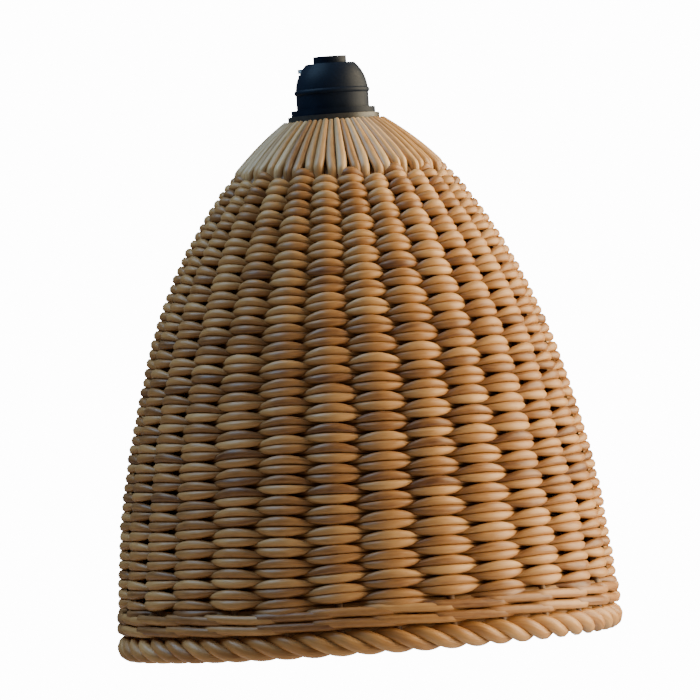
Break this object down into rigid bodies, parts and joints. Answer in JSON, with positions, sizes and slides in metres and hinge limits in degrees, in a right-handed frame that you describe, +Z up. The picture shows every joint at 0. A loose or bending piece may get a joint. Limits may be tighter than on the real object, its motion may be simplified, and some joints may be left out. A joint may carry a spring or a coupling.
{
  "type": "lamp shade",
  "caption": "Woven cane bell-shaped lamp shade on a wire frame, clamped to a small screw lampholder with its lamp, hung from a threaded lamp arm.",
  "frame": {"origin": "centre of the mouth of the threaded bore at the top of the lampholder's cap", "axes": "+Z up along the bore towards the lamp arm; the shade hangs below, and the lock screw points to -X"},
  "size_m": [0.1994, 0.1994, 0.2312],
  "materials": {
    "bakelite": "satin",
    "porcelain": "satin",
    "brass": "polished",
    "lamp_brass": "satin",
    "steel": "satin",
    "black_steel": "satin",
    "cane": "satin",
    "stake_cane": "satin",
    "glass": "gloss",
    "black_glass": "gloss",
    "filament": "matte"
  },
  "bodies": {
    "lampholder": {"cap": "bakelite", "lock_screw": "steel", "shell": "bakelite", "core": "porcelain", "thread_sleeve": "brass", "centre_contact": "brass", "side_contact": "brass", "terminal_screws": "steel"},
    "shade": {"fitter_cup": "black_steel", "top_hoop": "black_steel", "frame_legs": "black_steel", "bottom_hoop": "black_steel", "crown_canes": "cane", "stakes": "stake_cane", "upper_weave": "cane", "middle_weave": "cane", "lower_weave": "cane", "inner_weave": "cane", "rim_wale": "stake_cane", "rim_border": "cane"},
    "ring": {"shade_ring": "bakelite"},
    "lamp": {"lamp_tip": "steel", "lamp_insulator": "black_glass", "lamp_cap": "lamp_brass", "lamp_glass": "glass", "lamp_stem": "glass", "lamp_leads": "steel", "lamp_filaments": "filament"}
  },
  "joints": [
    {"name": "shade_lower", "type": "slide", "parent": "lampholder", "child": "shade", "axis": [0, 0, -1], "range_m": [0, 0.008]},
    {"name": "ring_turn", "type": "hinge", "parent": "shade", "child": "ring", "pos_m": [0, 0, -0.027], "axis": [0, 0, -1], "range_deg": [0, 1440]},
    {"name": "lamp_pull", "type": "slide", "parent": "lampholder", "child": "lamp", "axis": [0, 0, -1], "range_m": [0, 0.028]}
  ],
  "couplings": [
    {"joint": "ring_turn", "follows": "shade_lower", "rad_per_m": 3141.6}
  ]
}
